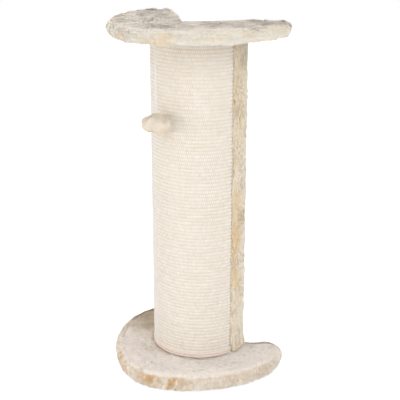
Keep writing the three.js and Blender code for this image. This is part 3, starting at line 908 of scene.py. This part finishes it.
def foot_bulge(points, moved, outer):
    """The pile puffs out where the post stands on the base."""
    share = (1 - smoothstep(POST_BOTTOM + 0.006, POST_BOTTOM + 0.03, points[:, 2])) * outer
    away = from_axis(points)
    sideways = np.abs(points[:, 0]) > 0.07
    push = 0.004 * share * sideways / np.maximum(np.linalg.norm(away, axis=1), 1e-6)
    moved[:, :2] += away * push[:, None]
    return moved


def against_wall(out):
    return ((out[:, 1] > 0.5) & (np.abs(out[:, 0]) < 0.85)).astype(float)


def post_density(side):
    """Pile on one side of the post: none on its ends or the mat's seat, more beside the mat."""
    def density(middle, out):
        own = middle[:, 0] * side > -0.0005
        ends = np.abs(out[:, 2]) > 0.8
        past_seam = np.abs(round_axis(middle)) - MAT_HALF_ANGLE
        outside = np.hypot(*from_axis(middle).T) > 0.088
        bare = (past_seam < 0.001) & outside
        fringe = np.where((past_seam < 0.03) & outside, 2.5, 1.0)
        return own * ~ends * ~bare * fringe * np.where(against_wall(out) > 0, 0.85, 1.0)
    return density


def post_lay(root, out):
    """Down the post with a slight wander, and a little over the mat's edge."""
    angle = 0.45 * lumps(root, 0.05, 23)
    sideways = level(out[:, 1], -out[:, 0])
    lay = sideways * np.sin(angle)[:, None] + np.array([0, 0, -1.0]) * np.cos(angle)[:, None]
    around = round_axis(root)
    fringe = 1 - smoothstep(0.005, 0.05, np.abs(around) - MAT_HALF_ANGLE)
    to_mat = level(np.cos(around), np.sin(around))
    return lay - to_mat * (0.5 * np.sign(around) * fringe)[:, None]


post_skin = backing_cloth(
    "post_plush_backing", "post_plush",
    ["post_front_shell", "post_left_back_board", "post_right_back_board"],
    sink=0.0030, voxel=0.0036, shape=foot_bulge)
for side_name, side in (("left", -1), ("right", 1)):
    grow_pile(
        f"post_{side_name}_plush_pile", post_skin, side_pile, 64000, 13 + side,
        post_density(side), post_lay, length=lambda root, out: 0.0085 - 0.003 * against_wall(out),
        lean=steady(1.24), pull=0.2, width=0.0010, tuft_share=0.035)


# -------- sisal mat


def arc(radius, angle, height):
    """Points round the post's axis, at angles from +X."""
    x, y = POST_AXIS[0] + radius * np.cos(angle), POST_AXIS[1] + radius * np.sin(angle)
    return np.stack(np.broadcast_arrays(x, y, height), axis=-1)


def woven_mat():
    """Rows of looped yarn round the post's front, with closed edges and back."""
    loop_depth = 0.0022
    bottom, top = POST_BOTTOM + 0.0016, POST_TOP
    rows = round((top - bottom) / ROW_PITCH)
    phases = np.array([0.0, 0.14, 0.32, 0.5, 0.68, 0.86])
    columns = 2 * LOOPS_PER_ROW + 1
    v = np.concatenate([row + phases for row in range(rows)] + [[rows]])
    row_of = np.minimum(v.astype(int), rows - 1)
    across = np.linspace(-1, 1, columns)
    dice = np.random.default_rng(5)
    uneven = dice.normal(size=(rows, columns)) * 0.10
    sag = np.cumsum(dice.normal(size=(rows, columns)) * 0.018, axis=1)
    over_or_under = (np.arange(columns)[None] + np.arange(rows)[:, None]) % 2
    loop_height = np.clip(np.where(over_or_under == 0, 1.0, 0.08) + uneven, 0.0, 1.15)
    rib = np.abs(np.sin(math.pi * (v - np.floor(v)))) ** 0.75
    rib[-1] = 0
    crown = rib[:, None] * loop_height[row_of]
    radius = MAT_FACE - 0.0020 + loop_depth * crown
    above_tape = smoothstep(TAPE_TOP - 0.001, TAPE_TOP + 0.001, bottom + v * ROW_PITCH)[:, None]
    radius = np.minimum(radius, MAT_FACE - 0.0016) * (1 - above_tape) + radius * above_tape
    reach = MAT_HALF_ANGLE + (0.012 * rib - 0.0095)[:, None]
    height = bottom + (v[:, None] + (sag[row_of] * 0.25) * rib[:, None]) * (top - bottom) / rows
    face = arc(radius, -math.pi / 2 + across[None] * reach, height)
    back_angle = -math.pi / 2 + across * (MAT_HALF_ANGLE - 0.001)
    points = np.concatenate([face.reshape(-1, 3), arc(MAT_BACK, back_angle, bottom),
                             arc(MAT_BACK, back_angle, top)])
    lines = len(v)
    line, column = np.meshgrid(np.arange(lines - 1), np.arange(columns - 1), indexing="ij")
    a = line * columns + column
    front = np.stack([a, a + 1, a + 1 + columns, a + columns], axis=-1).reshape(-1, 4)
    low, high = lines * columns, (lines + 1) * columns
    k = np.arange(columns - 1)
    last = (lines - 1) * columns
    under = np.stack([low + k, low + k + 1, k + 1, k], axis=-1)
    over = np.stack([last + k, last + k + 1, high + k + 1, high + k], axis=-1)
    rear = np.stack([high + k, high + k + 1, low + k + 1, low + k], axis=-1)
    left = np.concatenate([[low], np.arange(lines) * columns, [high]])[None]
    right = np.concatenate([[high + columns - 1], np.arange(lines)[::-1] * columns + columns - 1,
                            [low + columns - 1]])[None]
    piece = new_mesh("sisal_weave", points, [front, under, over, rear, left, right])
    # Painted shade: at the mat's two side edges the crown value drops below 0 between the rows, and
    # the sisal finish paints it dark tan there.
    crown[:, [0, -1]] -= 0.7 * (1 - rib)[:, None]
    tone = np.clip(dice.normal(size=(rows, columns)) * 0.45, -1, 1)[row_of]

    def with_back(values):
        values = np.broadcast_to(values, (lines, columns)).ravel()
        return np.concatenate([values, np.zeros(2 * columns)])
    point_attribute(piece.data, "crown", with_back(crown))
    point_attribute(piece.data, "tone", with_back(tone))
    unwrap(piece, "yarn", np.column_stack([with_back(np.arange(columns) / 2), with_back(v[:, None])]))
    smooth(piece)
    return piece


fit_out(woven_mat(), "root", "sisal", sisal, "sisal_mat")


def stray_fibres(count, seed):
    """Short ends of yarn that stand off the weave."""
    half_width = 0.00013
    dice = np.random.default_rng(seed)
    angle = -math.pi / 2 + dice.uniform(-1, 1, count) * MAT_HALF_ANGLE
    height = dice.uniform(TAPE_TOP + 0.004, POST_TOP - 0.01, count)
    out = level(np.cos(angle), np.sin(angle))
    root = arc(MAT_FACE - 0.0012, angle, height)
    along = unit(level(-out[:, 1], out[:, 0]) * dice.choice([-1, 1], count)[:, None]
                 + np.array([0, 0, 1.0]) * dice.normal(size=count)[:, None] * 0.7)
    length = dice.uniform(0.003, 0.008, count)[:, None]
    bend = root + (out * 0.55 + along * 0.85) * length * 0.5
    tip = bend + (out * 0.1 + along) * length * 0.5
    side = unit(np.cross(along, out)) * half_width
    piece = blades("sisal_stray_fibres", root, bend, tip, side)
    point_attribute(piece.data, "tone", np.repeat(dice.uniform(-1, 1, count), 5))
    return piece


fit_out(stray_fibres(4200, 6), "root", "sisal", sisal_fibre)


# -------- binding tape


def binding_tape():
    """A folded tape spun round the mat's lower edge: two soft ridges and a stitched groove."""
    low, high = POST_BOTTOM, TAPE_TOP
    middle = (low + high) / 2
    inside = MAT_BACK + 0.0002
    section = [
        (inside, low + 0.0005), (MAT_FACE - 0.0006, low), (MAT_FACE + 0.0005, low + 0.0012),
        (MAT_FACE + 0.0010, low + 0.0032), (MAT_FACE + 0.0006, middle - 0.0011),
        (MAT_FACE - 0.0003, middle), (MAT_FACE + 0.0006, middle + 0.0011),
        (MAT_FACE + 0.0010, high - 0.0032), (MAT_FACE + 0.0006, high - 0.0012),
        (MAT_FACE - 0.0006, high - 0.0001), (inside, high - 0.0005),
    ]
    pick()
    bpy.ops.mesh.primitive_circle_add(vertices=len(section), radius=1)
    piece = bpy.context.object
    start = -math.pi / 2 - MAT_HALF_ANGLE
    for vertex, (radius, height) in zip(piece.data.vertices, section):
        vertex.co = arc(radius, start, height)
    bpy.ops.object.mode_set(mode="EDIT")
    bpy.ops.mesh.select_all(action="SELECT")
    bpy.ops.mesh.edge_face_add()
    bpy.ops.mesh.select_all(action="SELECT")
    bpy.ops.mesh.spin(steps=140, angle=-2 * MAT_HALF_ANGLE, center=(*POST_AXIS, 0), axis=(0, 0, 1))
    bpy.ops.mesh.select_all(action="SELECT")
    bpy.ops.mesh.remove_doubles(threshold=1e-6)
    bpy.ops.mesh.normals_make_consistent(inside=False)
    bpy.ops.object.mode_set(mode="OBJECT")
    points = points_of(piece.data)
    soft = 0.00035 * lumps(points, 0.02, 31)
    set_points(piece.data, points + away_from_axis(points) * soft[:, None])
    around = round_axis(points) / (2 * MAT_HALF_ANGLE) + 0.5
    unwrap(piece, "tape", np.column_stack([around, (points[:, 2] - low) / (high - low) * 0.04]))
    smooth(piece, 50)
    return settle(piece, "sisal_edge_binding")


fit_out(binding_tape(), "root", "edge_tape", tape, "sisal_edge_tape")


def tape_stitches(count=64):
    """One stitch, copied along the tape's groove."""
    half_length, half_depth, half_height = 0.0014, 0.00045, 0.0004
    pick()
    bpy.ops.mesh.primitive_uv_sphere_add(segments=6, ring_count=5, radius=1)
    stitch = bpy.context.object
    stitch.scale = (half_length, half_depth, half_height)
    settle(stitch, "tape_stitches")
    groove = (POST_BOTTOM + TAPE_TOP) / 2
    places = []
    for i in range(count):
        angle = MAT_HALF_ANGLE * (2 * (i + 0.5) / count - 1)
        places.append((angle, (POST_AXIS[0] + MAT_FACE * math.sin(angle),
                               POST_AXIS[1] - MAT_FACE * math.cos(angle), groove)))
    piece = copies_of(stitch, "tape_stitches", places)
    smooth(piece)
    return piece


fit_out(tape_stitches(), "root", "edge_tape", thread)


# -------- toy


def stuffed_toy():
    """A plump bag of plush, drawn in where the elastic goes into it."""
    half_width, half_depth, half_height = 0.0308, 0.0218, 0.0194
    plumpness = 2.4  # 2 is an egg, and more is squarer
    right_shoulder, left_shoulder = 0.0034, 0.0075  # how far its top drops at the ends
    belly = -0.013  # what hangs below this height is pressed to half its depth
    dimple_reach, dimple_depth = 0.0065, 0.0020
    fold_depth, fold_count, fold_start = 0.0005, 7, 0.004
    pick()
    bpy.ops.mesh.primitive_uv_sphere_add(segments=72, ring_count=44, radius=1)
    piece = bpy.context.object
    ball = points_of(piece.data)
    plump = np.abs(ball) ** (2 / plumpness) * np.sign(ball)
    x, y, z = plump[:, 0] * half_width, plump[:, 1] * half_depth, plump[:, 2] * half_height
    end = x / half_width
    shoulder = right_shoulder * np.maximum(end, 0) + left_shoulder * np.maximum(-end - 0.1, 0)
    z = z - shoulder * np.maximum(z, 0) / half_height - 0.0006 * end
    x = x * (1 + 0.05 * (z < 0) * (end > 0))
    y = y * (1 - 0.10 * np.maximum(end, 0) ** 2)
    z = np.where(z < belly, belly + (z - belly) * 0.5, z)
    reach = np.hypot(x, y)
    gather = np.exp(-((reach / dimple_reach) ** 2)) * (z > 0)
    folds = np.cos(fold_count * np.arctan2(y, x) + 0.6)
    z = z - dimple_depth * gather + fold_depth * folds * gather * np.minimum(reach / fold_start, 1)
    points = np.column_stack([x, y, z])
    points += unit(points) * (0.0009 * lumps(points, 0.02, 41))[:, None]
    set_points(piece.data, points + np.array([CORD_X, CORD_Y, TOY_CENTRE]))
    point_attribute(piece.data, "outer", np.ones(len(points)))
    smooth(piece)
    return settle(piece, "toy_bag")


def toy_lay(root, out):
    """Away from the dimple and downwards, in short waves."""
    away = root - np.array([CORD_X, CORD_Y, TOY_CENTRE + 0.012])
    waves = np.column_stack([lumps(root, 0.02, seed) for seed in (42, 43, 44)])
    return unit(away) * 0.8 + np.array([0, 0, -0.6]) + waves * 0.7


toy = stuffed_toy()
fit_out(toy, "toy", "toy_plush", plush_backing, "toy_plush", "toy_stuffing")
grow_pile(
    "toy_pile", toy, toy_pile, 22000, 17, steady(1.0), toy_lay, length=steady(0.0030),
    lean=steady(1.58), pull=0.15, width=0.0007, body="toy", slot="toy_plush")


# -------- nodes that stay as they are

slot_of = {entry["node"]: entry["material_slot"] for entry in frame["record"]["subparts"]}
for node_name, node in nodes.items():
    finish = {"board": board, "steel": steel}.get(slot_of[node_name])
    if finish and not node.hide_render:
        node.data.materials.clear()
        node.data.materials.append(finish)


# -------- floor and light

FLOOR_GLOW = 0.55  # with the lamps, it makes the floor white
WORLD_LIGHT = 0.92  # on the object, while the camera sees the world white

pick()
bpy.ops.mesh.primitive_plane_add(size=9, location=(0, 0, -0.0006))
floor = bpy.context.object
floor.name = "floor"
floor_paint = Finish("white floor", 0.9, Specular_IOR_Level=0.1, Base_Color=(0.9, 0.9, 0.9, 1),
                     Emission_Color=(1, 1, 1, 1))
glow = floor_paint.combine(floor_paint.seen(), FLOOR_GLOW, "MULTIPLY")
floor_paint.finish_with("Emission Strength", glow)
floor.data.materials.append(floor_paint.material)


def soft_lamp(name, azimuth, elevation, distance, size, power):
    """A square lamp that faces the middle of the post. Azimuth 0 is the front, 90 the left."""
    lamp = add_object(name, bpy.data.lights.new(name, "AREA"))
    lamp.data.size = size
    lamp.data.energy = power
    turn, lift = math.radians(azimuth), math.radians(elevation)
    aim = Vector((0, 0, 0.4))
    lamp.location = aim + distance * Vector((-math.sin(turn) * math.cos(lift),
                                             -math.cos(turn) * math.cos(lift), math.sin(lift)))
    lamp.rotation_euler = (aim - lamp.location).to_track_quat("-Z", "Y").to_euler()


soft_lamp("left lamp", azimuth=28, elevation=8, distance=4.0, size=1.0, power=20)
soft_lamp("right lamp", azimuth=-56, elevation=30, distance=4.0, size=2.4, power=33)

world = bpy.data.worlds.new("studio")
bpy.context.scene.world = world
world.use_nodes = True
studio = Nodes(world.node_tree)
background = world.node_tree.nodes["Background"]
background.inputs["Color"].default_value = (1, 1, 1, 1)
strength = studio.add("ShaderNodeMapRange", {
    "Value": studio.seen(), "To Min": WORLD_LIGHT, "To Max": 1.0})
studio.feed(background.inputs["Strength"], strength.outputs["Result"])
bpy.context.scene.view_settings.view_transform = "Standard"
